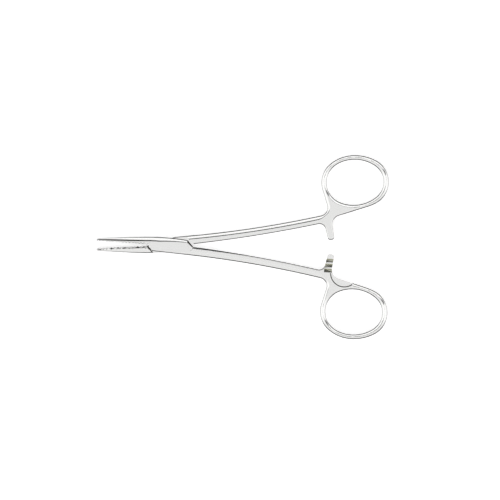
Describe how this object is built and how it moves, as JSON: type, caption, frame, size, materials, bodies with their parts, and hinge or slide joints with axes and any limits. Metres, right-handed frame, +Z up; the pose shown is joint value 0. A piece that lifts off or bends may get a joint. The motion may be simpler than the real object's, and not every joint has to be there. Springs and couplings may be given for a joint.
{
  "type": "hemostat forceps",
  "caption": "Straight ring-handled locking forceps with serrated jaws, a box lock and a ratchet, for clamping a small vessel.",
  "frame": {"origin": "pivot axis where it meets the surface that the forceps lie on", "axes": "+X along the instrument towards the finger rings, so the jaw tips are on -X; +Z up, along the pivot, out of the flat side; +Y towards the tenon half's ring"},
  "size_m": [0.1232, 0.0776, 0.004],
  "materials": {
    "satin_steel": "satin stainless steel with polished edges"
  },
  "bodies": {
    "box_half": {"box_half": "satin_steel", "pivot_pin": "satin_steel"},
    "tenon_half": {"tenon_half": "satin_steel"}
  },
  "joints": [
    {"name": "box_lock", "type": "hinge", "parent": "box_half", "child": "tenon_half", "pos_m": [0, 0, 0.002], "axis": [0, 0, 1], "range_deg": [-6.2, 49.8]}
  ]
}
